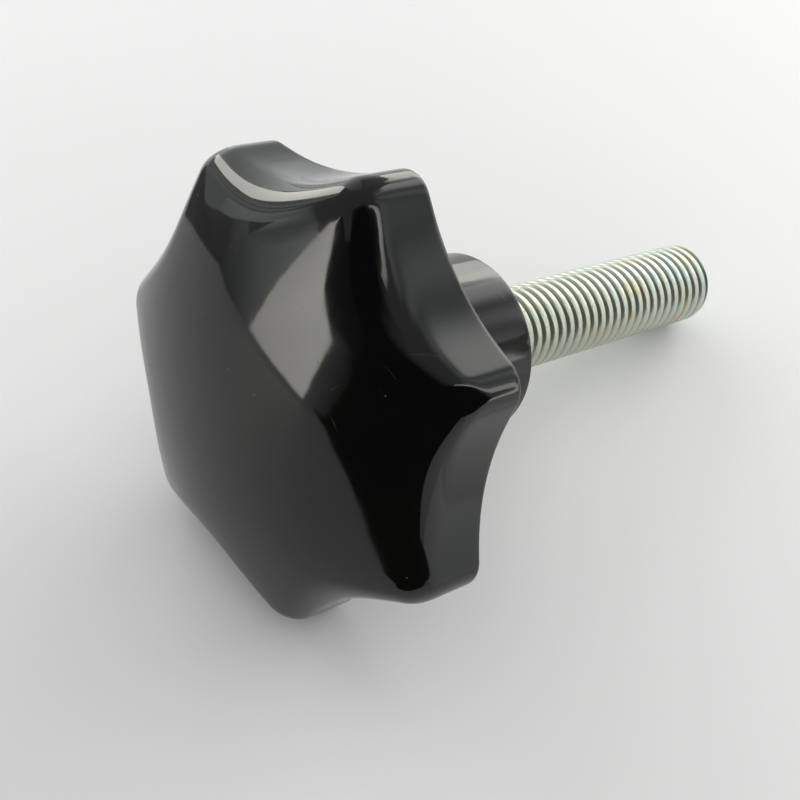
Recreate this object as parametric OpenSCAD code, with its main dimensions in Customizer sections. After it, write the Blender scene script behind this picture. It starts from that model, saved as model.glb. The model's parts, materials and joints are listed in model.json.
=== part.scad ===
// Seven-lobed star knob: a moulded head on a threaded stud, lying as it comes to rest
// on the back edges of its two lowest lobes and the tip of its stud.
// The parts are drawn about the knob's own axis: the seat face of the boss is at z = 0,
// the crown looks along +z, the stud runs along -z and one lobe points along +x.

/* [Head] */
// Diameter across the noses of the lobes
head_d = 63; // [50:1:76]
// Number of lobes
lobes = 7; // [6:1:8]
// Radius of each lobe's nose, seen along the axis
nose_r = 4; // [3.5:0.1:5]
// Depth of the flutes between the lobes, below the nose circle
flute_depth = 4.7; // [4:0.1:7]
// Thickness of the lobed head at its centre
head_h = 18; // [15:0.5:24]

/* [Crown] */
// Radius of the spherical crown
crown_r = 65; // [50:1:100]
// Radius between the crown and the nose circle
shoulder_r = 2.6; // [1:0.1:4]
// Rounding of the crown's edge on the noses
nose_round = 2.6; // [1:0.1:3.2]
// Rounding of the crown's edge in the flutes
flute_round = 4.4; // [2:0.1:6]
// Rounding of the lobes' back edge
back_round = 0.5; // [0.2:0.1:0.8]

/* [Boss] */
// Diameter of the boss
boss_d = 25; // [20:0.5:32]
// Height of the boss, from its seat face to the back of the lobes
boss_h = 23; // [15:0.5:30]
// Rounding of the boss's edge at the seat face
seat_round = 0.4; // [0.1:0.1:1]
// Fillet where the boss meets the back of the lobes
root_fillet = 1.5; // [0.5:0.1:3]

/* [Stud] */
// Major diameter of the thread
thread_d = 12; // [8:1:16]
// Length of the stud beyond the seat face
stud_l = 50; // [25:1:80]
// Chamfer at the stud's tip
tip_chamfer = 1.5; // [0.5:0.1:2]
// Length over which the thread runs out, just inside the head
runout_l = 1; // [0.5:0.1:3]
// Step in radius from the thread down to the plain shank inside the head
shank_step = 0.6; // [0.2:0.1:1.5]
// Depth of the stud's shank inside the head
anchor_depth = 24; // [12:0.5:28]
// Width across the flats of the hexagonal anchor inside the head
anchor_af = 18; // [17:0.5:20]
// Thickness of the hexagonal anchor
anchor_h = 7.5; // [4:0.5:9]

/* [Hidden] */
$fn = 96;
head_color = [0.07, 0.07, 0.07];
zinc_color = [0.78, 0.79, 0.76];

tip_r = head_d / 2;
waist_r = tip_r - flute_depth;
boss_r = boss_d / 2;
thread_r = thread_d / 2;
shank_r = thread_r - shank_step;
crown_top = boss_h + head_h;
anchor_corner_r = anchor_af / 2 / cos(30);

// The boss is sunk this deep into the lobed body
boss_sink = head_h / 4;

// Outline: nose arcs joined by tangent flute arcs, both given by their centres' radii
half_pitch = 180 / lobes;
nose_c = tip_r - nose_r;
flute_reach = nose_r + nose_c * cos(half_pitch) - waist_r;
flute_r = (pow(nose_c, 2) + pow(waist_r, 2) - 2 * nose_c * waist_r * cos(half_pitch) - pow(nose_r, 2))
    / (2 * flute_reach);
flute_c = waist_r + flute_r;
turn = atan2(flute_c * sin(half_pitch), flute_c * cos(half_pitch) - nose_c);

// Steps of the head's surface: along half a nose, along half a flute, around the
// crown's edge, around the back edge and from the crown's edge to its centre
nose_steps = 5;
flute_steps = 4;
edge_steps = 6;
back_steps = 3;
crown_steps = 8;
EPS = 0.01;

// A station of the outline is its point and the direction of its outward normal
function nose_station(a) = [[nose_c + nose_r * cos(a), nose_r * sin(a)], a];
function flute_station(a) = [
    flute_c * [cos(half_pitch), sin(half_pitch)] - flute_r * [cos(a), sin(a)], a
];
function mirrored(s) = [[s[0].x, -s[0].y], -s[1]];
function turned(v, a) = [v.x * cos(a) - v.y * sin(a), v.x * sin(a) + v.y * cos(a)];

half_lobe = concat(
    [for (i = [0 : nose_steps - 1]) nose_station(turn * i / nose_steps)],
    [for (i = [0 : flute_steps]) flute_station(turn + (half_pitch - turn) * i / flute_steps)]
);
half_n = len(half_lobe) - 1;
one_lobe = concat(
    [for (i = [half_n - 1 : -1 : 1]) mirrored(half_lobe[i])],
    half_lobe
);
outline = [
    for (k = [0 : lobes - 1], s = one_lobe)
        [turned(s[0], 2 * half_pitch * k), s[1] + 2 * half_pitch * k]
];
around = len(outline);

// Height of the revolved crown at radius r: a sphere, then the shoulder that ends upright
shoulder_c = tip_r - shoulder_r;
shoulder_z = crown_top - crown_r + sqrt(pow(crown_r - shoulder_r, 2) - pow(shoulder_c, 2));
shoulder_start = shoulder_c * crown_r / (crown_r - shoulder_r);
function crown_z(r) = r < shoulder_start
    ? crown_top - crown_r + sqrt(pow(crown_r, 2) - pow(r, 2))
    : shoulder_z + sqrt(max(0, pow(shoulder_r, 2) - pow(r - shoulder_c, 2)));

// Edge rounding at a station grows smoothly from the nose to the middle of the flute. The
// nose's own radius limits it there.
max_nose_share = 0.9;
nose_edge = min(nose_round, max_nose_share * nose_r);
function edge_round(s) = nose_edge
    + (flute_round - nose_edge) * (1 - cos(lobes * atan2(s[0].y, s[0].x))) / 2;

function inset(s, d) = s[0] - d * [cos(s[1]), sin(s[1])];
function on_crown(p, drop) = [p.x, p.y, crown_z(norm(p)) - drop];
function back_ring(a) = [
    for (s = outline) let (p = inset(s, back_round * (1 - sin(a))))
        [p.x, p.y, boss_h + back_round * (1 - cos(a))]
];
function edge_ring(a) = [
    for (s = outline) let (e = edge_round(s))
        on_crown(inset(s, e * (1 - cos(a))), e * (1 - sin(a)))
];
function crown_ring(f) = [for (s = outline) on_crown(f * inset(s, edge_round(s)), 0)];

rings = concat(
    [for (i = [0 : back_steps]) back_ring(90 * i / back_steps)],
    [for (i = [0 : edge_steps]) edge_ring(90 * i / edge_steps)],
    [for (i = [1 : crown_steps - 1]) crown_ring(1 - i / crown_steps)]
);
last_ring = len(rings) - 1;
ring_points = [for (ring = rings, p = ring) p];
apex = len(ring_points);
function at(ring, i) = ring * around + i % around;
head_faces = concat(
    [[for (i = [0 : around - 1]) at(0, i)]],
    [
        for (j = [0 : last_ring - 1], i = [0 : around - 1], upper = [false, true])
            upper ? [at(j, i), at(j + 1, i + 1), at(j, i + 1)] : [at(j, i), at(j + 1, i), at(j + 1, i + 1)]
    ],
    [for (i = [0 : around - 1]) [at(last_ring, i), apex, at(last_ring, i + 1)]]
);

// Resting pose. The two lowest lobes touch on the torus of their back edge, the stud on
// the outer circle of its chamfer: the tilt brings both to the same height.
lobe_reach = nose_c * cos(half_pitch) + nose_r - back_round - thread_r;
rest_span = boss_h + back_round + stud_l - tip_chamfer;
rest_tilt = atan2(lobe_reach, rest_span) + asin(back_round / norm([lobe_reach, rest_span]));
axis_z = thread_r * cos(rest_tilt) + (stud_l - tip_chamfer) * sin(rest_tilt);
crown_x = (crown_r - crown_top) * cos(rest_tilt) - crown_r;
tip_x = stud_l * cos(rest_tilt) + (thread_r - tip_chamfer) * sin(rest_tilt);
middle_x = (crown_x + tip_x) / 2;

// Turns a part from the knob's own axis into the resting pose, over the middle of its box
module at_rest() {
    translate([-middle_x, 0, axis_z])
        rotate([0, rest_tilt - 90, 0])
            children();
}

module lobed_body() {
    polyhedron(points = concat(ring_points, [[0, 0, crown_top]]), faces = head_faces, convexity = 6);
}

// Boss with a rounded seat edge and a fillet at its root, sunk into the lobed body
module boss() {
    rotate_extrude() {
        difference() {
            square([boss_r, boss_h + boss_sink]);
            translate([boss_r - seat_round, 0])
                difference() {
                    translate([0, -EPS])
                        square([seat_round + EPS, seat_round + EPS]);
                    translate([0, seat_round])
                        circle(r = seat_round);
                }
        }
        translate([boss_r, boss_h - root_fillet])
            difference() {
                square([root_fillet, root_fillet + back_round]);
                translate([root_fillet, 0])
                    circle(r = root_fillet);
            }
    }
}

// Threaded bar with a chamfered tip, whose plain shank and hexagonal anchor the head is
// moulded round
module stud_blank() {
    rotate_extrude()
        polygon([
            [0, -stud_l],
            [thread_r - tip_chamfer, -stud_l],
            [thread_r, tip_chamfer - stud_l],
            [thread_r, 0],
            [shank_r, runout_l],
            [shank_r, anchor_depth],
            [0, anchor_depth]
        ]);
    translate([0, 0, anchor_depth])
        cylinder(r = anchor_corner_r, h = anchor_h, $fn = 6);
}

module knob_head() {
    color(head_color)
        at_rest()
            difference() {
                union() {
                    lobed_body();
                    boss();
                }
                stud_blank();
            }
}

module threaded_stud() {
    color(zinc_color)
        at_rest()
            stud_blank();
}

knob_head();
threaded_stud();
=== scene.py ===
import json
import math

import bpy
from mathutils import Matrix, Vector

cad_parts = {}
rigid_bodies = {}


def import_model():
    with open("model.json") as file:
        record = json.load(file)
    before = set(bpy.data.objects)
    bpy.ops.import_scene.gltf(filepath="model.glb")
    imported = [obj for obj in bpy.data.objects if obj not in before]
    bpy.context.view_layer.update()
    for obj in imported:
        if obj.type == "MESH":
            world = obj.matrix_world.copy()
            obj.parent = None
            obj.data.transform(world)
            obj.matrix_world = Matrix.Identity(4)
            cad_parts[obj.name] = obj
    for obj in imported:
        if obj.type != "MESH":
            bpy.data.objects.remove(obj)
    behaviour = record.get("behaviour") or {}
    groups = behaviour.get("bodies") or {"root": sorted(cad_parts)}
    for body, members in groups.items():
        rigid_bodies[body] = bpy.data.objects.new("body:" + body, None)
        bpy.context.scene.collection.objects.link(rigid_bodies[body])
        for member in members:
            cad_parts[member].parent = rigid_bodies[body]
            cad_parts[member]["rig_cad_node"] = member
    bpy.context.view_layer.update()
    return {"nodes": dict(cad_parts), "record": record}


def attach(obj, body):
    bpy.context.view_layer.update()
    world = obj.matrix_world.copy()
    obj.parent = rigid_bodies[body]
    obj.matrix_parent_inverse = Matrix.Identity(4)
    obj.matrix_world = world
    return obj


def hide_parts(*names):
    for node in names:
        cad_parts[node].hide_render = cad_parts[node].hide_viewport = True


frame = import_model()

# Sizes are in metres. The knob's own axes come from its mounts: the origin is the centre of the
# boss's seat face, +Z runs from there to the crown, and one lobe points along +X.
MM = 0.001
MOUNTS = {mount["name"]: mount for mount in frame["record"]["mounts"]}
THREAD_R = MOUNTS["stud"]["dims"]["r_mm"] * MM
STUD_PLAIN_L = MOUNTS["stud"]["dims"]["length_mm"] * MM
TO_CROWN = -Vector(MOUNTS["stud"]["axis"])
SEAT = Vector(MOUNTS["stud"]["pos_m"]) + TO_CROWN * STUD_PLAIN_L / 2
ACROSS = Vector((0, 1, 0))
KNOB = Matrix.Translation(SEAT) @ Matrix((ACROSS.cross(TO_CROWN), ACROSS, TO_CROWN)).transposed().to_4x4()

# Tolerances: gap between points that are one, angle between faces that are flat, upward part of an
# upright face's normal, and distance of a point that lies on a sphere
MERGE = 0.001 * MM
FLAT = math.radians(1)
UPRIGHT_NORMAL = 0.01
NEAR_SPHERE = 0.005 * MM

# Head
BOSS_R = 12.5 * MM
BOSS_H = 23 * MM
SEAT_ROUND = 0.4 * MM
SEAT_ROUND_STEPS = 4
ROOT_FILLET = 1.5 * MM
ROOT_FILLET_STEPS = 5
CROWN_TOP = 41 * MM
CROWN_R = 65 * MM
ANCHOR_TOP = 36 * MM
HOLE_R = 4.9 * MM
HOLE_DEPTH = 2 * MM
FLAT_R = 15 * MM
BACK_INSET = 0.7 * MM
CENTRE_R = 16 * MM
CROWN_EDGE_Z = 33 * MM
LONG_WALL = 3 * MM
WALL_CUTS = 4
# Points round the outline of the lobes, and round the boss
STATIONS = 126
CENTRE_RINGS = 4
SMOOTHING = 2

# Thread
PITCH = 1.75 * MM
STUD_L = 50 * MM
TIP_CHAMFER = 1.5 * MM
CREST_R = THREAD_R - 0.02 * MM
ROOT_R = CREST_R - 0.46 * MM
SOLID_R = ROOT_R - 0.3 * MM
# Half a pitch, from the middle of the crest to the middle of the root: radius and place along the axis
HALF_THREAD = [
    (CREST_R, 0),
    (CREST_R - 0.02 * MM, 0.18 * PITCH),
    (CREST_R - 0.05 * MM, 0.27 * PITCH),
    (CREST_R - 0.14 * MM, 0.35 * PITCH),
    (ROOT_R + 0.06 * MM, 0.455 * PITCH),
    (ROOT_R, PITCH / 2),
]
STUD_SUNK = 1 * MM
THREAD_START = 2.37 * PITCH
SPARE_TURNS = 4
TURN_STEPS = 64
SHARP_EDGE = math.radians(50)

# Camera
AIM = Vector((-0.0229, -0.0089, 0.030))
CAMERA_DISTANCE = 0.1932
HEADING = math.radians(44.23)
DOWN = math.radians(49.76)
ROLL = math.radians(7.57)
LENS = 69.9
SENSOR_WIDTH = 36
CLIP_START = 0.01

# Colours
BLACK = (0.0032, 0.0036, 0.0034, 1)
BROWN_BLACK = (0.0048, 0.0046, 0.0038, 1)
DUST = (0.10, 0.095, 0.08, 1)
SILVER = (0.52, 0.56, 0.49, 1)
STRAW = (0.55, 0.49, 0.33, 1)
BLUE_GREEN = (0.43, 0.55, 0.52, 1)
DULL_OLIVE = (0.40, 0.42, 0.32, 1)
ROOT_SHADE_OLIVE = (0.31, 0.33, 0.24, 1)
PIT = (0.16, 0.17, 0.14, 1)
TABLE_DARK = (0.785, 0.79, 0.785, 1)
TABLE_PALE = (0.815, 0.82, 0.815, 1)
UNLIT = (0, 0, 0, 1)
WINDOW_TINT = (1, 0.985, 0.91, 1)
WALL_TINT = (0.96, 1, 0.99, 1)
SHADE_TINT = (0.995, 1, 0.99, 1)

# Size of the patches, or of the specks and the spacing of their grid, in each finish
TONE_PATCH = 22 * MM
SMEAR_PATCH = 9 * MM
WIPING = 1.1 * MM
HAIRLINE_CELL = 7 * MM
HAIRLINE_PATCH = 5 * MM
PEEL = 2.6 * MM
WAVE = 14 * MM
MOULDING_RELIEF = 0.02 * MM
DUST_SPACING = 2.2 * MM
DUST_SIZE = 0.13 * MM
DUST_SHARE = 0.16
STRAW_PATCH = 5 * MM
GREEN_PATCH = 3.5 * MM
ZINC_GRAIN = 0.5 * MM
ROLLING = 0.11 * MM
ZINC_RELIEF = 0.012 * MM
PIT_SPACING = 1.1 * MM
PIT_SIZE = 0.14 * MM
PIT_SHARE = 0.2
# Depth below the crests over which painted shade darkens the thread's roots
ROOT_SHADE = (0.16 * MM, 0.44 * MM)
TABLE_CLOUD = 60 * MM
TABLE_FIBRE = 0.9 * MM
TABLE_RELIEF = 0.012 * MM

# Room. Its lamps and panels are placed by heading, in degrees from +Y towards +X, and by height,
# in degrees above level. A panel shines REFLECTOR_POWER times its written brightness.
FLOOR_SIZE = 4
ROOM_LIGHT = 0.68
CEILING = 0.42
CROWN_MIDDLE = Vector((-0.035, 0, 0.044))
REFLECTOR_POWER = 1.15
# The brightness at which a panel looks like the ceiling
EVEN = CEILING / REFLECTOR_POWER
# Lamps: name, heading and power
LAMPS = [("right_window_lamp", 90, 2.4), ("back_window_lamp", 0, 1.55)]
LAMP_HEIGHT = 20
LAMP_REACH = 0.6
LAMP_SIZE = (0.6, 0.4)
# Stretches of the table that gloss mirrors darker or brighter than they're lit, painted shadow where darker
# and painted sheen where brighter: x, y, brightness
TABLE_PATCH_H = 0.0005
TABLE_PATCHES = [
    # Painted shadow: a black sheet that gloss mirrors in place of the table, where the camera and
    # photographer shade it
    ("camera_shadow", [(-0.07, -0.037, 0), (-0.13, -0.029, 0), (-0.2, -0.006, 0), (-0.3, 0.03, 0),
                     (-0.8, 0.3, 0), (-0.8, -0.8, 0), (-0.03, -0.8, 0), (-0.05, -0.1, 0)]),
    # Painted shadow: a dim sheet that gloss mirrors in place of the table, where a curtain shades it
    ("curtain_shadow", [(-0.3, 0.3, 0.2), (-0.133, 0.191, 0.2), (-0.1, 0.168, 0.2), (-0.06, 0.13, 0.2),
                   (-0.045, 0.13, 0.2), (-0.045, 0.4, 0.2)]),
    # Painted sheen: glowing sheets that gloss mirrors in place of the table, where it looks more brightly lit
    ("window_sheen", [(0.036, 0.14, 1.6), (0.053, 0.131, 1.1), (0.506, 0.802, 1.1), (0.391, 0.868, 1.6)]),
    ("sheen_end", [(0.053, 0.131, 1.1), (0.069, 0.119, 0.65), (0.611, 0.72, 0.65), (0.506, 0.802, 1.1)]),
    ("front_sheen", [(-0.02, -0.075, 0.8), (0.05, -0.06, 0.85), (0.3, -0.3, 0.95), (0, -0.4, 0.9)]),
]
# The unlit wall behind the camera: heading and top, and the band over which it turns into ceiling
DARK_ROOM = [(-84, 50), (-96, 60), (-108, 66), (-120, 69), (-132, 72), (-150, 73), (-168, 71), (-180, 66),
             (-192, 62), (-204, 57), (-210, 52), (-216, 47), (-224, 37)]
DARK_REACH = 0.3
DARK_BOTTOM = -8
FADE = 12
# The lit side of the room: name, reach, and heading, height and brightness at each corner
NEAREST, NEAR, NEAR_WALL, FAR = 0.29, 0.31, 0.35, 1
PANELS = [
    ("left_strip", NEAR, [(-82, -7, 0.15), (-84, 5, 0.05), (-81, 14, 0.08), (-75, 14, 0.4), (-75, -7, 0.65)]),
    ("left_window", NEAR, [(-75, -7, 4.8), (-75, 10, 5.8), (-66, 17, 6.2), (-56, 30, 5.8), (-52, 26, 4.8),
                           (-53, 17, 4.6), (-54, -7, 3.4)]),
    ("left_wall", NEAR_WALL, [(-98, 14, 0.02), (-84, -7, 0.02), (-66, 17, 0.07), (-56, 30, 0.1),
                              (-70, 38, 0.06), (-84, 50, 0.02), (-98, 50, 0.02)]),
    ("window_side", NEAR, [(-54, -7, 0.7), (-53, 22, 2), (-46, 22, 0.8), (-46, 8, 1.1), (-46, -8, 0.3)]),
    ("curtain", NEAR, [(-46, -8, 0.3), (-46, 8, 1.1), (-38, 4, 0.6), (-38, -9, 0.2)]),
    ("curtain_top", NEAR, [(-46, 8, 1.1), (-46, 22, 0.8), (-38, 22, 0.9), (-38, 13, 1.7), (-38, 4, 0.6)]),
    ("curtain_gap", NEAR, [(-38, 13, 1.7), (-38, 22, 0.9), (-26, 22, 0.8), (-24, 16, 1.5), (-24, 8, 1.3),
                           (-27, -3, 0.8), (-31, 1, 1.2), (-34, 6, 1.4)]),
    ("curtain_hem", NEAR, [(-38, 4, 0.6), (-34, 6, 0.7), (-31, 1, 0.3), (-27, -3, 0.25), (-22, -8, 0.25),
                           (-38, -8, 0.2)]),
    ("back_corner", NEAR, [(-27, -3, 0.7), (-24, 8, 0.8), (-22, 22, 0.5), (-19, 19, 1.1), (-12, 9, 1.1),
                           (-10, -8, 0.6), (-22, -8, 0.6)]),
    ("back_window_edge", FAR, [(-19, 19, 1.1), (-17, 28, 0.9), (-10, 26, 0.7), (-10, 19, 0.7), (-3, 11, 0.7),
                               (11, -2.5, 0.7), (-8, -2.5, 0.6), (-12, 9, 1.1)]),
    ("back_window", FAR, [(-10, 26, 6.2), (5, 26, 6.2), (9, 14, 6), (11, 6, 5.2), (15, -2.5, 4.5),
                          (11, -2.5, 4.5), (4, 5, 5.2), (-3, 11, 6), (-10, 19, 6)]),
    ("back_wall", FAR, [(5, 26, 1.4), (34, 20, 0.8), (34, -2.5, 1.1), (15, -2.5, 2), (9, 14, 1.9)]),
    ("ceiling_glow", FAR, [(5, 26, 1.4), (5, 34, 1.1), (0, 52, 0.42), (36, 54, 0.42), (36, 40, 0.5),
                           (34, 20, 0.9)]),
    ("back_right_wall", FAR, [(34, 20, 0.9), (46, 18, 0.4), (48, 8, 0.8), (44, -2.5, 0.7), (34, -2.5, 1.1)]),
    ("right_window", FAR, [(44, -2.5, 3), (46, 4, 3.5), (51, 10, 4.4), (58, 18, 5), (69, 18, 5.5),
                           (68, 10, 5.5), (56, 0, 4), (52, -2.5, 2)]),
    ("right_window_top", FAR, [(58, 18, 3), (69, 18, 3), (69, 24, 0.8), (58, 24, 0.6)]),
    ("right_low", FAR, [(52, -2.5, 1.5), (68, 10, 2), (98, 10, 2.4), (126, 4, 1.4), (126, -2.5, 1.4)]),
    ("right_edge", NEAREST, [(126, 10, 3), (127, 28, 3), (132, 42, 4), (139.5, 54, 5), (147, 63, 4),
                             (162, 70, 2), (168, 67, 2), (154, 62, 4), (145, 53.5, 5), (137, 41, 4),
                             (132, 28, 3), (132, 0, 3), (140, -8, 4), (130, -8, 3)]),
]
# The wall beside the right window: its reach in heading and height, its grid, and what adds to its
# brightness. A span is the two headings or heights between which something grows from 0 to 1.
WALL_HEADINGS = (69, 130)
WALL_HEIGHTS = (10, 66)
WALL_GRID = 24
WALL_LEVEL = 0.84
BESIDE_WINDOW = {"headings": (92, 76), "heights": (46, 32), "gain": 1.7}
LOW_DOWN = {"headings": (114, 104), "heights": (25, 10), "gain": 2.2}
FOLDS = {"per_turn": 18, "first": 104, "gain": 0.2, "heights": (48, 60), "fade": 0.5}
WALL_TOP = {"heights": (50, 64), "gain": -0.4}


# Modelling helpers -------------------------------------------------------------------------

def deselect_all():
    if bpy.context.object and bpy.context.object.mode != "OBJECT":
        bpy.ops.object.mode_set(mode="OBJECT")
    bpy.ops.object.select_all(action="DESELECT")


def activate(piece):
    """Selects a piece alone and makes it the active one."""
    deselect_all()
    piece.select_set(True)
    bpy.context.view_layer.objects.active = piece


def edit(piece):
    """Opens a piece in edit mode with nothing of it selected."""
    activate(piece)
    bpy.ops.object.mode_set(mode="EDIT")
    bpy.ops.mesh.select_mode(type="VERT")
    bpy.ops.mesh.select_all(action="DESELECT")


def select(piece, kind, rule):
    """Opens a piece in edit mode with only the edges or faces selected that fit the rule."""
    edit(piece)
    bpy.ops.mesh.select_mode(type=kind)
    bpy.ops.object.mode_set(mode="OBJECT")
    items = {"EDGE": piece.data.edges, "FACE": piece.data.polygons}[kind]
    for item in items:
        item.select = rule(item)
    bpy.ops.object.mode_set(mode="EDIT")


def edge_ends(piece, edge):
    return [piece.data.vertices[i].co for i in edge.vertices]


def radius(point):
    return math.hypot(point.x, point.y)


def select_long_walls(piece, shortest):
    """Selects the edges that climb more than this."""
    def climbs(edge):
        start, end = edge_ends(piece, edge)
        return abs(start.z - end.z) > shortest
    select(piece, "EDGE", climbs)


def select_ring(piece, height, low, high):
    """Selects the rings of edges that lie level at this height, between two radii."""
    def level(edge):
        return all(abs(p.z - height) < MERGE and low < radius(p) < high for p in edge_ends(piece, edge))
    select(piece, "EDGE", level)


def select_pairs(piece, pairs):
    """Selects the edges between these pairs of vertices, each given with the lower number first."""
    select(piece, "EDGE", lambda edge: tuple(sorted(edge.vertices)) in pairs)


def open_edges(piece):
    """The edges with a face on one side only, as pairs of vertices."""
    uses = {}
    for face in piece.data.polygons:
        for pair in face.edge_keys:
            uses[pair] = uses.get(pair, 0) + 1
    return {pair for pair, count in uses.items() if count == 1}


def open_edges_where(piece, rule):
    """The open edges both of whose ends fit the rule."""
    vertices = piece.data.vertices
    return {pair for pair in open_edges(piece) if all(rule(vertices[i].co) for i in pair)}


def apply_modifier(piece, kind, **settings):
    activate(piece)
    modifier = piece.modifiers.new(kind.title(), kind)
    for key, value in settings.items():
        setattr(modifier, key, value)
    bpy.ops.object.modifier_apply(modifier=modifier.name)


def rename(piece, name):
    piece.name = name
    piece.data.name = name
    return piece


def settle(piece, place=KNOB):
    """Puts a piece that was drawn about the knob's own axis in its place, with the place in its mesh."""
    activate(piece)
    piece.matrix_world = place
    bpy.ops.object.transform_apply(location=True, rotation=True, scale=True)


# Head --------------------------------------------------------------------------------------

def ring_numbers(shell):
    """How many edges each vertex lies from the shell's open back edge, and each one's neighbours."""
    neighbours = {v.index: set() for v in shell.data.vertices}
    for edge in shell.data.edges:
        first, second = edge.vertices
        neighbours[first].add(second)
        neighbours[second].add(first)
    reached = {i for pair in open_edges(shell) for i in pair}
    rings = {}
    number = 0
    while reached:
        rings.update({i: number for i in reached})
        reached = {j for i in reached for j in neighbours[i]} - rings.keys()
        number += 1
    return rings, neighbours


def dissolve_diagonals(shell):
    """Turns the shell's triangles into rows of four-sided faces. Each point has one or two
    neighbours in the row behind it, and of two the clockwise one is across a diagonal."""
    rings, neighbours = ring_numbers(shell)
    points = [v.co.copy() for v in shell.data.vertices]
    diagonals = set()
    for i, ring in rings.items():
        behind = [j for j in neighbours[i] if rings[j] == ring - 1]
        if len(behind) == 2:
            first, second = behind
            clockwise = points[first].x * points[second].y < points[first].y * points[second].x
            diagonals.add(tuple(sorted((i, second if clockwise else first))))
    select_pairs(shell, diagonals)
    bpy.ops.mesh.dissolve_edges(use_verts=False)
    bpy.ops.object.mode_set(mode="OBJECT")


def lobed_shell():
    """The lobed body of the CAD head, about the knob's own axis: crown, sides and back edge."""
    activate(frame["nodes"]["knob_head"])
    bpy.ops.object.duplicate()
    shell = rename(bpy.context.object, "star_head")
    bpy.ops.object.parent_clear(type="CLEAR_KEEP_TRANSFORM")
    del shell["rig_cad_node"]
    shell.data.materials.clear()
    settle(shell, KNOB.inverted())

    def behind_the_lobes(face):
        low = face.center.z < BOSS_H + MERGE
        inside = radius(face.center) < BOSS_R and face.center.z < ANCHOR_TOP
        return low or inside

    edit(shell)
    bpy.ops.mesh.select_all(action="SELECT")
    bpy.ops.mesh.remove_doubles(threshold=MERGE)
    select(shell, "FACE", behind_the_lobes)
    bpy.ops.mesh.delete(type="FACE")
    select(shell, "FACE", lambda face: abs(face.normal.z) < UPRIGHT_NORMAL)
    bpy.ops.mesh.tris_convert_to_quads(face_threshold=FLAT, shape_threshold=math.pi)
    bpy.ops.object.mode_set(mode="OBJECT")
    dissolve_diagonals(shell)
    return shell


def regrid_crown(shell):
    """Replaces the fan of triangles at the crown's centre by an even grid."""
    rings, _ = ring_numbers(shell)
    cut = max(rings.values()) - CENTRE_RINGS
    select(shell, "FACE", lambda face: all(rings[i] >= cut for i in face.vertices))
    bpy.ops.mesh.delete(type="FACE")
    bpy.ops.object.mode_set(mode="OBJECT")
    select_pairs(shell, open_edges_where(shell, lambda point: point.z > CROWN_EDGE_Z))
    bpy.ops.mesh.fill_grid(span=STATIONS // 4, use_interp_simple=True)
    bpy.ops.object.mode_set(mode="OBJECT")


def rounded(piece):
    """Subdivides the head's skin and brings the crown's points back onto its sphere."""
    centre = Vector((0, 0, CROWN_TOP - CROWN_R))

    def on_crown(point):
        off_sphere = abs((point - centre).length - CROWN_R)
        return point.z > CROWN_EDGE_Z and (radius(point) < CENTRE_R or off_sphere < NEAR_SPHERE)

    near = {v.index for v in piece.data.vertices if on_crown(v.co)}
    edge = {i for e in piece.data.edges if not near.issuperset(e.vertices) for i in e.vertices}
    crown = piece.vertex_groups.new(name="crown")
    crown.add(list(near - edge), 1, "REPLACE")
    apply_modifier(piece, "SUBSURF", levels=SMOOTHING, render_levels=SMOOTHING)
    deselect_all()
    bpy.ops.object.empty_add(location=centre)
    ball_centre = bpy.context.object
    apply_modifier(piece, "CAST", cast_type="SPHERE", factor=1, size=CROWN_R, radius=0,
                   use_radius_as_size=False, object=ball_centre, vertex_group="crown")
    bpy.data.objects.remove(ball_centre)
    piece.vertex_groups.clear()


def extrude_ring(from_r, to_r):
    """Extrudes the selected ring of edges level, inwards or outwards."""
    bpy.ops.mesh.extrude_edges_move()
    bpy.ops.transform.resize(value=(to_r / from_r, to_r / from_r, 1))


def boss():
    """The boss, turned about the axis: seat face with the stud's hole, wall, and fillet at its root."""
    deselect_all()
    bpy.ops.mesh.primitive_cylinder_add(vertices=STATIONS, radius=BOSS_R, depth=BOSS_H,
                                        end_fill_type="NOTHING", location=(0, 0, BOSS_H / 2))
    piece = rename(bpy.context.object, "boss")
    bpy.ops.object.transform_apply(location=True)
    select_long_walls(piece, MM)
    bpy.ops.mesh.subdivide(number_cuts=WALL_CUTS)

    select_ring(piece, 0, BOSS_R - MM, BOSS_R + MM)
    extrude_ring(BOSS_R, HOLE_R)
    bpy.ops.transform.edge_crease(value=1)
    bpy.ops.mesh.extrude_edges_move()
    bpy.ops.transform.edge_crease(value=-1)
    bpy.ops.transform.translate(value=(0, 0, HOLE_DEPTH))
    bpy.ops.mesh.edge_face_add()
    select_ring(piece, BOSS_H, BOSS_R - MM, BOSS_R + MM)
    extrude_ring(BOSS_R, FLAT_R)

    select_ring(piece, 0, BOSS_R - MERGE, BOSS_R + MERGE)
    bpy.ops.mesh.bevel(offset=SEAT_ROUND, segments=SEAT_ROUND_STEPS)
    select_ring(piece, BOSS_H, BOSS_R - MERGE, BOSS_R + MERGE)
    bpy.ops.mesh.bevel(offset=ROOT_FILLET, segments=ROOT_FILLET_STEPS)
    bpy.ops.object.mode_set(mode="OBJECT")
    return piece


def star_head():
    """The moulded head in one skin: the lobed shell, its flat back and the boss."""
    head = lobed_shell()
    regrid_crown(head)
    select_long_walls(head, LONG_WALL)
    bpy.ops.mesh.subdivide(number_cuts=WALL_CUTS)

    part = boss()
    activate(head)
    part.select_set(True)
    bpy.ops.object.join()

    select_pairs(head, open_edges_where(head, lambda point: abs(point.z - BOSS_H) < MERGE))
    bpy.ops.mesh.bridge_edge_loops()
    bpy.ops.mesh.inset(thickness=BACK_INSET)
    bpy.ops.mesh.select_all(action="SELECT")
    bpy.ops.mesh.normals_make_consistent(inside=False)
    bpy.ops.object.mode_set(mode="OBJECT")
    rounded(head)
    activate(head)
    bpy.ops.object.shade_smooth()
    settle(head)
    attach(head, "root")
    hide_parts("knob_head")
    return head


# Stud --------------------------------------------------------------------------------------

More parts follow.
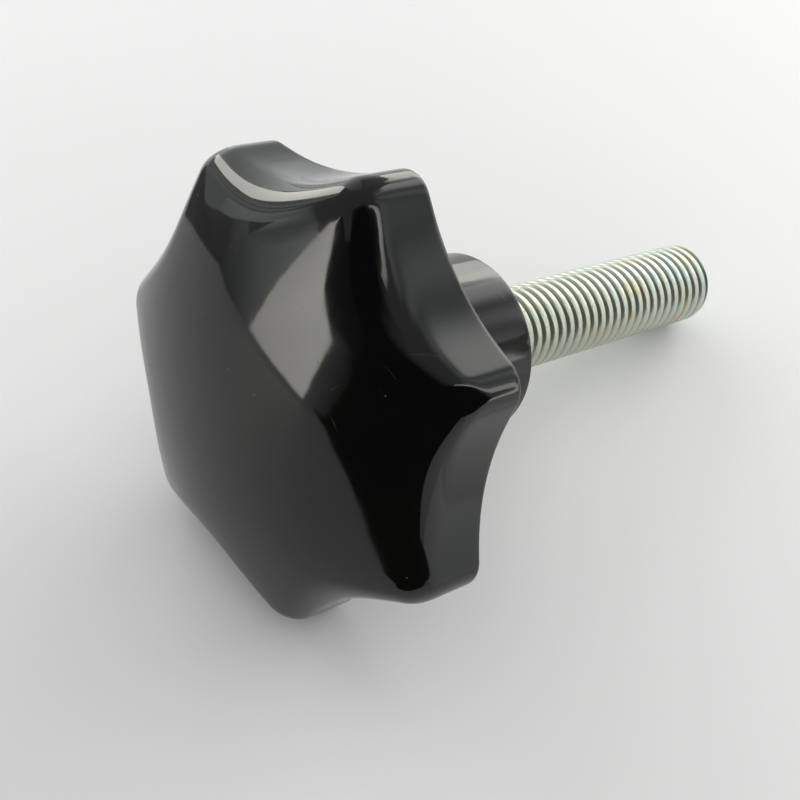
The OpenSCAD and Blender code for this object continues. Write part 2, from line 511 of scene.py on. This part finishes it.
def drawn_line(name, points):
    """An open line, drawn by extruding one vertex from point to point."""
    deselect_all()
    bpy.ops.mesh.primitive_plane_add(size=MM)
    line = rename(bpy.context.object, name)
    edit(line)
    bpy.ops.mesh.select_all(action="SELECT")
    bpy.ops.mesh.merge(type="CENTER")
    bpy.ops.transform.translate(value=points[0])
    for start, end in zip(points, points[1:]):
        bpy.ops.mesh.extrude_vertices_move(TRANSFORM_OT_translate={"value": end - start})
    bpy.ops.object.mode_set(mode="OBJECT")
    return line


def thread_profile():
    """One pitch of the rolled thread, from one root's middle to the next: a broad rounded crest
    between narrow roots."""
    profile = [(r, -h) for r, h in reversed(HALF_THREAD)] + HALF_THREAD[1:]
    return [Vector((r, 0, h)) for r, h in profile]


def cut_level(piece, height, keep_above):
    """Cuts a closed piece at a height and closes the cut."""
    edit(piece)
    bpy.ops.mesh.select_all(action="SELECT")
    bpy.ops.mesh.bisect(plane_co=(0, 0, height), plane_no=(0, 0, 1), use_fill=True, threshold=MERGE / 10,
                        clear_inner=keep_above, clear_outer=not keep_above)
    bpy.ops.object.mode_set(mode="OBJECT")


def chamfered_blank():
    """A plain bar with the stud's tip, which reaches past the thread's end inside the head."""
    length = STUD_L + 2 * HOLE_DEPTH
    deselect_all()
    bpy.ops.mesh.primitive_cylinder_add(vertices=TURN_STEPS, radius=THREAD_R, depth=length,
                                        location=(0, 0, length / 2 - STUD_L))
    blank = rename(bpy.context.object, "chamfered_blank")
    bpy.ops.object.transform_apply(location=True)
    select_ring(blank, -STUD_L, 0, BOSS_R)
    bpy.ops.mesh.bevel(offset=TIP_CHAMFER, segments=1)
    bpy.ops.object.mode_set(mode="OBJECT")
    return blank


def threaded_rod():
    """The stud's right-hand thread, cut level inside the head and chamfered at its tip."""
    rod = drawn_line("stud_thread", thread_profile())
    turns = math.ceil((STUD_L + HOLE_DEPTH) / PITCH) + SPARE_TURNS
    apply_modifier(rod, "SCREW", angle=math.tau, screw_offset=PITCH, iterations=turns,
                   steps=TURN_STEPS, render_steps=TURN_STEPS, use_merge_vertices=False)
    edit(rod)
    bpy.ops.mesh.select_all(action="SELECT")
    bpy.ops.mesh.remove_doubles(threshold=MERGE)
    bpy.ops.transform.translate(value=(0, 0, -STUD_L - THREAD_START))
    bpy.ops.mesh.normals_make_consistent(inside=False)
    bpy.ops.object.mode_set(mode="OBJECT")
    cut_level(rod, STUD_SUNK, keep_above=False)
    cut_level(rod, -STUD_L, keep_above=True)

    blank = chamfered_blank()
    apply_modifier(rod, "BOOLEAN", operation="INTERSECT", solver="EXACT", object=blank)
    bpy.data.objects.remove(blank)
    activate(rod)
    bpy.ops.object.shade_smooth_by_angle(angle=SHARP_EDGE)
    settle(rod)
    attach(rod, "root")
    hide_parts("threaded_stud")
    return rod


# Shader nodes ------------------------------------------------------------------------------

class Value:
    """What a node gives: a number, a colour or a place. Arithmetic on numbers adds Math nodes."""

    def __init__(self, nodes, socket):
        self.nodes = nodes
        self.socket = socket

    def __add__(self, other):
        return self.nodes.math("ADD", self, other)

    def __sub__(self, other):
        return self.nodes.math("SUBTRACT", self, other)

    def __rsub__(self, other):
        return self.nodes.math("SUBTRACT", other, self)

    def __mul__(self, other):
        return self.nodes.math("MULTIPLY", self, other)

    __radd__ = __add__
    __rmul__ = __mul__


class Nodes:
    """A tree of shader nodes, which are added one by one."""

    def __init__(self, owner):
        owner.use_nodes = True
        self.tree = owner.node_tree

    def node(self, kind, settings=None, inputs=None, output=0):
        node = self.tree.nodes.new("ShaderNode" + kind)
        for name, value in (settings or {}).items():
            setattr(node, name, value)
        for key, value in (inputs or {}).items():
            self.feed(node.inputs[key], value)
        return Value(self, node.outputs[output])

    def feed(self, socket, value):
        if isinstance(value, Value):
            self.tree.links.new(value.socket, socket)
        else:
            socket.default_value = value

    def math(self, operation, *values):
        return self.node("Math", {"operation": operation}, dict(enumerate(values)))


class Finish(Nodes):
    """A material with a Principled shader."""

    def __init__(self, name, **constants):
        self.material = bpy.data.materials.new(name)
        super().__init__(self.material)
        self.shader = self.tree.nodes["Principled BSDF"]
        for socket, value in constants.items():
            self.shader.inputs[socket.replace("_", " ")].default_value = value

    def step(self, value, low, high):
        """0 below low, 1 above high, and a smooth rise between them."""
        return self.node("MapRange", {"interpolation_type": "SMOOTHSTEP"},
                         {"Value": value, "From Min": low, "From Max": high})

    def mix(self, amount, a, b):
        """Colour a, turning to colour b as the amount goes from 0 to 1."""
        sockets = {6: a, 7: b, 0: amount}
        return self.node("Mix", {"data_type": "RGBA"}, sockets, output=2)

    def place(self):
        return self.node("TexCoord", output="Object")

    def place_on_knob(self):
        """Places from the knob's own axis: the origin is the seat face's centre, +Z looks to the crown."""
        return self.node("Mapping", {"vector_type": "TEXTURE"},
                         {"Vector": self.place(), "Location": SEAT, "Rotation": KNOB.to_euler()})

    def stretched(self, place, scale):
        return self.node("Mapping", {}, {"Vector": place, "Scale": scale})

    def noise(self, place, size, detail=2):
        """Smooth random numbers from about 0.2 to 0.8, whose patches have this size."""
        return self.node("TexNoise", {}, {"Vector": place, "Scale": 1 / size, "Detail": detail})

    def specks(self, place, spacing, size, share):
        """1 in small round specks, on this share of a grid of places."""
        cells = {"Vector": place, "Scale": 1 / spacing}
        distance = self.node("TexVoronoi", {}, cells, output="Distance")
        color = self.node("TexVoronoi", {}, cells, output="Color")
        draw = self.node("SeparateColor", {}, {"Color": color}, output="Red")
        chosen = self.math("LESS_THAN", draw, share)
        return chosen * (1 - self.step(distance, size / spacing / 2, size / spacing))

    def bump(self, height, distance):
        normal = self.node("Bump", {}, {"Height": height, "Distance": distance})
        self.feed(self.shader.inputs["Normal"], normal)

    def paint(self, color):
        self.feed(self.shader.inputs["Base Color"], color)

    def roughen(self, roughness):
        self.feed(self.shader.inputs["Roughness"], roughness)


# Finishes ----------------------------------------------------------------------------------

def black_moulding():
    """Glossy black moulding: faint orange peel, wiping marks, hairlines and dust."""
    finish = Finish("black_moulding", Specular_IOR_Level=0.42)
    place = finish.place_on_knob()
    tone = finish.step(finish.noise(place, TONE_PATCH), 0.35, 0.65)
    color = finish.mix(tone, BLACK, BROWN_BLACK)

    wiped = finish.noise(finish.stretched(place, (0.12, 1, 0.3)), WIPING, detail=4)
    smears = finish.step(finish.noise(place, SMEAR_PATCH, detail=3), 0.45, 0.7)
    facets = finish.node("TexVoronoi", {"feature": "DISTANCE_TO_EDGE"},
                         {"Vector": finish.stretched(place, (1, 1, 0.5)), "Scale": 1 / HAIRLINE_CELL})
    scratched = finish.step(finish.noise(place, HAIRLINE_PATCH), 0.6, 0.68)
    hairline = (1 - finish.step(facets, 0.002, 0.01)) * scratched
    dust = finish.specks(place, DUST_SPACING, DUST_SIZE, DUST_SHARE)
    marks = finish.math("MAXIMUM", hairline * 0.18, dust)

    peel = finish.noise(place, PEEL, detail=1)
    wave = finish.noise(place, WAVE, detail=0)
    finish.paint(finish.mix(marks, color, DUST))
    finish.roughen(0.05 + 0.08 * smears * wiped + 0.02 * wiped + 0.3 * marks)
    finish.bump(0.3 * peel + wave + 0.06 * wiped - 0.1 * hairline, MOULDING_RELIEF)
    return finish.material


def zinc_plate():
    """Bright zinc plating with straw and blue-green tints, small pits, rolling lines, painted shade that
    darkens the roots, and duller towards the head."""
    finish = Finish("zinc_plate", Metallic=0.8)
    place = finish.place_on_knob()
    x, y, z = (finish.node("SeparateXYZ", {}, {"Vector": place}, output=axis) for axis in "XYZ")
    from_axis = finish.math("SQRT", x * x + y * y)
    # Depth of the thread's roots: there painted shade darkens the colour, and the finish is rougher
    grooves = finish.step(CREST_R - from_axis, *ROOT_SHADE) * finish.step(from_axis, SOLID_R, ROOT_R)

    straw = finish.step(finish.noise(place, STRAW_PATCH, detail=3), 0.5, 0.68)
    green = finish.step(finish.noise(finish.stretched(place, (1, 1, 2)), GREEN_PATCH, detail=3), 0.5, 0.7)
    grain = finish.noise(place, ZINC_GRAIN, detail=3)
    dulled = finish.step(z, -0.7 * STUD_L, 0)
    pits = finish.specks(place, PIT_SPACING, PIT_SIZE, PIT_SHARE)
    color = finish.mix(straw * 0.8 + 0.5 * finish.step(grain, 0.5, 0.7), SILVER, STRAW)
    color = finish.mix(green * 0.8, color, BLUE_GREEN)
    color = finish.mix(dulled * 0.5, color, DULL_OLIVE)
    # Painted shade: the roots are painted darker olive, the deeper the darker
    color = finish.mix(grooves, color, ROOT_SHADE_OLIVE)
    color = finish.mix(pits * 0.7, color, PIT)

    lines = finish.node("CombineXYZ", {}, {"X": from_axis, "Z": z})
    rolled = finish.noise(lines, ROLLING)
    finish.paint(color)
    finish.roughen(0.24 + 0.14 * grain + 0.2 * grooves + 0.2 * pits)
    finish.bump(rolled * 0.6 + grain * 0.5 - pits, ZINC_RELIEF)
    return finish.material


def table():
    """Pale grey board with a faint mottle."""
    finish = Finish("table", Roughness=0.6)
    place = finish.place()
    cloud = finish.noise(place, TABLE_CLOUD, detail=3)
    fibre = finish.noise(place, TABLE_FIBRE, detail=3)
    finish.paint(finish.mix(0.6 * cloud + 0.4 * fibre, TABLE_DARK, TABLE_PALE))
    finish.bump(fibre, TABLE_RELIEF)
    return finish.material


def glow():
    """The light of the panels, as bright as each place's own brightness says."""
    if "panel_glow" in bpy.data.materials:
        return bpy.data.materials["panel_glow"]
    finish = Finish("panel_glow", Base_Color=UNLIT, Specular_IOR_Level=0, Emission_Strength=REFLECTOR_POWER)
    level = finish.node("Attribute", {"attribute_name": "brightness"}, output="Fac")
    tint = finish.mix(finish.step(level, 1, 4), WALL_TINT, WINDOW_TINT)
    light = finish.node("VectorMath", {"operation": "SCALE"}, {"Vector": tint, "Scale": level})
    finish.feed(finish.shader.inputs["Emission Color"], light)
    return finish.material


# Stage -------------------------------------------------------------------------------------

def camera():
    """Looks down at the crown's side of the knob, a little turned about the line of sight."""
    turn = Matrix.Rotation(-HEADING, 4, "Z") @ Matrix.Rotation(math.pi / 2 - DOWN, 4, "X")
    turn = turn @ Matrix.Rotation(ROLL, 4, "Z")
    deselect_all()
    bpy.ops.object.camera_add()
    cam = bpy.context.object
    cam.matrix_world = Matrix.Translation(AIM) @ turn @ Matrix.Translation((0, 0, CAMERA_DISTANCE))
    cam.data.lens = LENS
    cam.data.sensor_width = SENSOR_WIDTH
    cam.data.clip_start = CLIP_START
    bpy.context.scene.camera = cam


def floor():
    deselect_all()
    bpy.ops.mesh.primitive_plane_add(size=FLOOR_SIZE)
    ground = rename(bpy.context.object, "floor")
    return ground


def room():
    """Even light from all round, which gloss and metal mirror at the brightness of the ceiling."""
    world = bpy.data.worlds.new("room")
    bpy.context.scene.world = world
    nodes = Nodes(world)
    background = nodes.tree.nodes["Background"]
    mirrored = nodes.node("LightPath", output="Is Glossy Ray")
    level = nodes.node("Mix", {}, {"Factor": mirrored, "A": ROOM_LIGHT, "B": CEILING}, output="Result")
    nodes.feed(background.inputs["Color"], SHADE_TINT)
    nodes.feed(background.inputs["Strength"], level)


def direction(heading, height):
    """The way to a point in the room, given by its heading and height in degrees."""
    turn, lift = math.radians(heading), math.radians(height)
    return Vector((math.sin(turn) * math.cos(lift), math.cos(turn) * math.cos(lift), math.sin(lift)))


def window_lamp(name, heading, power):
    """A soft lamp that lights the table and isn't mirrored: the panels stand for it there."""
    at = direction(heading, LAMP_HEIGHT) * LAMP_REACH
    deselect_all()
    bpy.ops.object.light_add(type="AREA", location=at)
    lamp = rename(bpy.context.object, name)
    lamp.data.shape = "RECTANGLE"
    lamp.data.size, lamp.data.size_y = LAMP_SIZE
    lamp.data.energy = power
    lamp.rotation_euler = (-at).to_track_quat("-Z", "Y").to_euler()
    lamp.visible_camera = False
    lamp.visible_glossy = False


def light_up(panel, places, brightness):
    """Puts a panel's points in their places with a brightness each. It is kept out of sight and out
    of the light on the floor: only gloss and metal show it."""
    for vertex, place in zip(panel.data.vertices, places):
        vertex.co = place
    levels = panel.data.attributes.new("brightness", "FLOAT", "POINT")
    for level, value in zip(levels.data, brightness):
        level.value = value
    panel.data.materials.append(glow())
    panel.visible_camera = False
    panel.visible_diffuse = False
    panel.visible_shadow = False


def glowing_panel(name, places, brightness):
    """A panel whose light runs evenly from corner to corner."""
    deselect_all()
    bpy.ops.mesh.primitive_circle_add(vertices=len(places), fill_type="NGON")
    light_up(rename(bpy.context.object, name), places, brightness)


def reflector(name, reach, corners):
    """A panel in the room, whose corners are given by their directions from the crown's middle."""
    places = [CROWN_MIDDLE + direction(heading, height) * reach for heading, height, _ in corners]
    glowing_panel(name, places, [brightness for _, _, brightness in corners])


def table_patch(name, corners):
    glowing_panel(name, [(x, y, TABLE_PATCH_H) for x, y, _ in corners], [level for _, _, level in corners])


def dark_room():
    """The unlit wall behind the camera, which turns into ceiling at its top."""
    for (start, low), (end, high) in zip(DARK_ROOM, DARK_ROOM[1:]):
        reflector("dark_room", DARK_REACH, [(start, DARK_BOTTOM, 0), (start, low, 0), (end, high, 0),
                                            (end, DARK_BOTTOM, 0)])
        reflector("dark_room_top", DARK_REACH, [(start, low, 0), (start, low + FADE, EVEN),
                                                (end, high + FADE, EVEN), (end, high, 0)])


def rise(span, x):
    """0 at the span's start and 1 at its end, a smooth rise between them, and level outside it."""
    start, end = span
    t = min(max((x - start) / (end - start), 0), 1)
    return t * t * (3 - 2 * t)


def right_wall_light(heading, height):
    """Brightest beside the right window and low down; faint folds of a curtain run up the wall."""
    level = WALL_LEVEL
    for glow_place in (BESIDE_WINDOW, LOW_DOWN):
        share = rise(glow_place["headings"], heading) * rise(glow_place["heights"], height)
        level += glow_place["gain"] * share
    wave = math.cos(math.radians((heading - FOLDS["first"]) * FOLDS["per_turn"]))
    level += FOLDS["gain"] * wave * (1 - FOLDS["fade"] * rise(FOLDS["heights"], height))
    return level + WALL_TOP["gain"] * rise(WALL_TOP["heights"], height)


def right_wall():
    """The wall beside the right window, as a grid of points with a brightness each."""
    deselect_all()
    bpy.ops.mesh.primitive_grid_add(x_subdivisions=WALL_GRID, y_subdivisions=WALL_GRID, size=1)
    wall = rename(bpy.context.object, "right_wall")
    (left, right), (bottom, top) = WALL_HEADINGS, WALL_HEIGHTS
    points = [(left + (right - left) * (v.co.x + 0.5), bottom + (top - bottom) * (v.co.y + 0.5))
              for v in wall.data.vertices]
    light_up(wall, [CROWN_MIDDLE + direction(heading, height) * FAR for heading, height in points],
             [right_wall_light(heading, height) for heading, height in points])


camera()
head = star_head()
rod = threaded_rod()
ground = floor()
head.data.materials.append(black_moulding())
rod.data.materials.append(zinc_plate())
ground.data.materials.append(table())

room()
for name, heading, power in LAMPS:
    window_lamp(name, heading, power)
for name, corners in TABLE_PATCHES:
    table_patch(name, corners)
dark_room()
for name, reach, corners in PANELS:
    reflector(name, reach, corners)
right_wall()
bpy.context.scene.view_settings.view_transform = "Standard"
